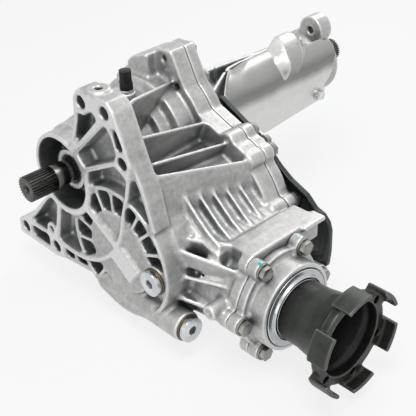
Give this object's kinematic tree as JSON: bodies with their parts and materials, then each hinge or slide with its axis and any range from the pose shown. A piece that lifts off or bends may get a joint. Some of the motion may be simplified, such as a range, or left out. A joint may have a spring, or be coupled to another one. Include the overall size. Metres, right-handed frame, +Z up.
{
  "type": "power transfer unit",
  "caption": "Finned die-cast angle-drive transfer case with a through shaft, hypoid gear set, output flange and bright heat shield.",
  "frame": {"origin": "centre of the pilot bore, in the face that bolts to the transmission", "axes": "+X along the input axis away from the transmission, +Z up, and the output flange faces -Y"},
  "size_m": [0.465, 0.421, 0.2642],
  "materials": {
    "cast_aluminium": "die cast, lightly satin, machined faces paler",
    "bright_sheet": "bright rolled aluminium sheet",
    "dark_sheet": "dark coated steel sheet",
    "zinc_steel": "bright zinc plate",
    "bolt_steel": "grey zinc flake coat",
    "sealing_washer": "dull copper alloy",
    "seal_rubber": "dark oil seal rubber",
    "black_plastic": "black moulded nylon",
    "bearing_steel": "ground bearing steel",
    "gear_steel": "case hardened gear steel",
    "dark_shaft": "dark oiled steel",
    "flange_iron": "dark phosphated forging",
    "magnet": "sintered magnet"
  },
  "bodies": {
    "case": {"main_housing": "cast_aluminium", "right_cover": "cast_aluminium", "extension_housing": "cast_aluminium", "bearing_retainer": "cast_aluminium", "input_seal": "seal_rubber", "output_seal": "seal_rubber", "shaft_seal": "seal_rubber", "input_bearing_left_outer": "bearing_steel", "input_bearing_right_outer": "bearing_steel", "jackshaft_cup_left": "bearing_steel", "jackshaft_cup_right": "bearing_steel", "pinion_head_cup": "bearing_steel", "pinion_tail_cup": "bearing_steel", "support_bearing_outer": "bearing_steel", "retainer_bolts": "bolt_steel", "cover_bolts": "bolt_steel", "cover_dowels": "zinc_steel", "extension_bolts": "bolt_steel", "fill_plug": "zinc_steel", "fill_plug_washer": "sealing_washer", "drain_plug": "zinc_steel", "drain_plug_washer": "sealing_washer", "vent_cap": "black_plastic", "vent_fitting": "zinc_steel", "heat_shield": "bright_sheet", "heat_shield_bolts": "zinc_steel", "rear_shield": "dark_sheet", "rear_shield_bolts": "bolt_steel", "sump_magnet": "magnet", "retainer_o_ring": "seal_rubber", "jackshaft_shim": "zinc_steel", "pinion_shim": "zinc_steel", "support_snap_ring": "bolt_steel"},
    "intermediate": {"intermediate_shaft": "dark_shaft", "support_bearing_inner": "bearing_steel", "support_bearing_balls": "bearing_steel", "shaft_snap_ring": "bolt_steel"},
    "input": {"input_shaft": "gear_steel", "drive_gear": "gear_steel", "input_bearing_left_inner": "bearing_steel", "input_bearing_right_inner": "bearing_steel", "needle_bearing": "bearing_steel", "drive_gear_snap_ring": "bolt_steel"},
    "jackshaft_group": {"jackshaft": "gear_steel", "driven_gear": "gear_steel", "ring_gear": "gear_steel", "ring_gear_bolts": "bolt_steel", "jackshaft_cone_left": "bearing_steel", "jackshaft_cone_right": "bearing_steel"},
    "pinion_group": {"pinion_shaft": "gear_steel", "pinion_head_cone": "bearing_steel", "pinion_tail_cone": "bearing_steel", "crush_sleeve": "zinc_steel", "output_flange": "flange_iron", "flange_nut": "bolt_steel", "dust_shield": "zinc_steel"}
  },
  "joints": [
    {"name": "intermediate_spin", "type": "hinge", "parent": "case", "child": "intermediate", "pos_m": [0, 0, 0], "axis": [1, 0, 0], "continuous": true},
    {"name": "jackshaft_spin", "type": "hinge", "parent": "case", "child": "jackshaft_group", "pos_m": [0.05, -0.08, -0.06], "axis": [1, 0, 0], "continuous": true},
    {"name": "input_spin", "type": "hinge", "parent": "case", "child": "input", "pos_m": [0.05, 0, 0], "axis": [1, 0, 0], "continuous": true},
    {"name": "pinion_spin", "type": "hinge", "parent": "case", "child": "pinion_group", "pos_m": [0.085, -0.2, -0.086], "axis": [0, -1, 0], "continuous": true}
  ],
  "couplings": [
    {"joint": "input_spin", "follows": "jackshaft_spin", "ratio": -0.86047},
    {"joint": "pinion_spin", "follows": "jackshaft_spin", "ratio": 2.4667}
  ]
}
